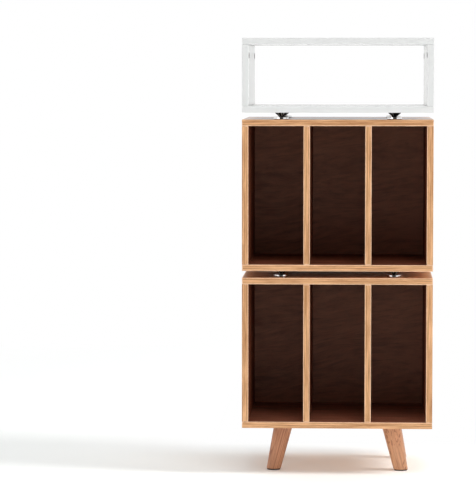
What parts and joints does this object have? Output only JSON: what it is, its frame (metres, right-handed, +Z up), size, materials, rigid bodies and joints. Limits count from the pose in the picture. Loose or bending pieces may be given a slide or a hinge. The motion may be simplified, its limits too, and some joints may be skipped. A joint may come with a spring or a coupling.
{
  "type": "stereo cabinet",
  "caption": "Stacked hi-fi cabinet: divided open record boxes under an open-backed top module, parted by spikes on polished pads, on splayed turned legs.",
  "frame": {"origin": "on the floor, under the centre of the cabinet", "axes": "+Z up, the open fronts face -Y, +X to the right as seen from the front"},
  "size_m": [0.475, 0.4, 1.091],
  "materials": {
    "honey_wood": "satin oiled, warm honey edges",
    "leg_wood": "satin turned wood",
    "walnut": "satin dark walnut with level grain",
    "white_lacquer": "white satin lacquer on board",
    "black_metal": "gloss black",
    "polished_steel": "polished",
    "zinc": "zinc plated",
    "dark_plastic": "matt"
  },
  "bodies": {
    "lower_box": {"lower_box_top_board": "honey_wood", "lower_box_bottom_board": "honey_wood", "lower_box_left_side": "honey_wood", "lower_box_right_side": "honey_wood", "lower_box_left_divider": "honey_wood", "lower_box_right_divider": "honey_wood", "lower_box_back_panel": "walnut", "leg_front_left": "leg_wood", "leg_bolt_front_left": "zinc", "leg_plate_front_left": "zinc", "leg_glide_front_left": "dark_plastic", "lower_pad_front_left": "polished_steel", "leg_front_right": "leg_wood", "leg_bolt_front_right": "zinc", "leg_plate_front_right": "zinc", "leg_glide_front_right": "dark_plastic", "lower_pad_front_right": "polished_steel", "leg_rear_left": "leg_wood", "leg_bolt_rear_left": "zinc", "leg_plate_rear_left": "zinc", "leg_glide_rear_left": "dark_plastic", "lower_pad_rear_left": "polished_steel", "leg_rear_right": "leg_wood", "leg_bolt_rear_right": "zinc", "leg_plate_rear_right": "zinc", "leg_glide_rear_right": "dark_plastic", "lower_pad_rear_right": "polished_steel"},
    "upper_box": {"upper_box_top_board": "honey_wood", "upper_box_bottom_board": "honey_wood", "upper_box_left_side": "honey_wood", "upper_box_right_side": "honey_wood", "upper_box_left_divider": "honey_wood", "upper_box_right_divider": "honey_wood", "upper_box_back_panel": "walnut", "upper_pad_front_left": "polished_steel", "upper_pad_front_right": "polished_steel", "upper_pad_rear_left": "polished_steel", "upper_pad_rear_right": "polished_steel"},
    "top_module": {"top_module_top_board": "white_lacquer", "top_module_bottom_board": "white_lacquer", "top_module_left_side": "white_lacquer", "top_module_right_side": "white_lacquer", "cam_lock_front_left": "zinc", "cam_bolt_front_left": "zinc", "cam_lock_front_right": "zinc", "cam_bolt_front_right": "zinc", "cam_lock_rear_left": "zinc", "cam_bolt_rear_left": "zinc", "cam_lock_rear_right": "zinc", "cam_bolt_rear_right": "zinc"},
    "lower_spike_front_left": {"lower_spike_front_left": "black_metal"},
    "lower_spike_front_right": {"lower_spike_front_right": "black_metal"},
    "lower_spike_rear_left": {"lower_spike_rear_left": "black_metal"},
    "lower_spike_rear_right": {"lower_spike_rear_right": "black_metal"},
    "upper_spike_front_left": {"upper_spike_front_left": "black_metal"},
    "upper_spike_front_right": {"upper_spike_front_right": "black_metal"},
    "upper_spike_rear_left": {"upper_spike_rear_left": "black_metal"},
    "upper_spike_rear_right": {"upper_spike_rear_right": "black_metal"}
  },
  "joints": [
    {"name": "upper_box_lift", "type": "slide", "parent": "lower_box", "child": "upper_box", "axis": [0, 0, 1], "range_m": [0, 0.15]},
    {"name": "top_module_lift", "type": "slide", "parent": "upper_box", "child": "top_module", "axis": [0, 0, 1], "range_m": [0, 0.15]},
    {"name": "lower_spike_front_left_turn", "type": "hinge", "parent": "upper_box", "child": "lower_spike_front_left", "pos_m": [-0.1415, -0.145, 0.512], "axis": [0, 0, 1], "range_deg": [-360, 360]},
    {"name": "lower_spike_front_right_turn", "type": "hinge", "parent": "upper_box", "child": "lower_spike_front_right", "pos_m": [0.1415, -0.145, 0.512], "axis": [0, 0, 1], "range_deg": [-360, 360]},
    {"name": "lower_spike_rear_left_turn", "type": "hinge", "parent": "upper_box", "child": "lower_spike_rear_left", "pos_m": [-0.1415, 0.145, 0.512], "axis": [0, 0, 1], "range_deg": [-360, 360]},
    {"name": "lower_spike_rear_right_turn", "type": "hinge", "parent": "upper_box", "child": "lower_spike_rear_right", "pos_m": [0.1415, 0.145, 0.512], "axis": [0, 0, 1], "range_deg": [-360, 360]},
    {"name": "upper_spike_front_left_turn", "type": "hinge", "parent": "top_module", "child": "upper_spike_front_left", "pos_m": [-0.1415, -0.145, 0.906], "axis": [0, 0, 1], "range_deg": [-360, 360]},
    {"name": "upper_spike_front_right_turn", "type": "hinge", "parent": "top_module", "child": "upper_spike_front_right", "pos_m": [0.1415, -0.145, 0.906], "axis": [0, 0, 1], "range_deg": [-360, 360]},
    {"name": "upper_spike_rear_left_turn", "type": "hinge", "parent": "top_module", "child": "upper_spike_rear_left", "pos_m": [-0.1415, 0.145, 0.906], "axis": [0, 0, 1], "range_deg": [-360, 360]},
    {"name": "upper_spike_rear_right_turn", "type": "hinge", "parent": "top_module", "child": "upper_spike_rear_right", "pos_m": [0.1415, 0.145, 0.906], "axis": [0, 0, 1], "range_deg": [-360, 360]}
  ]
}
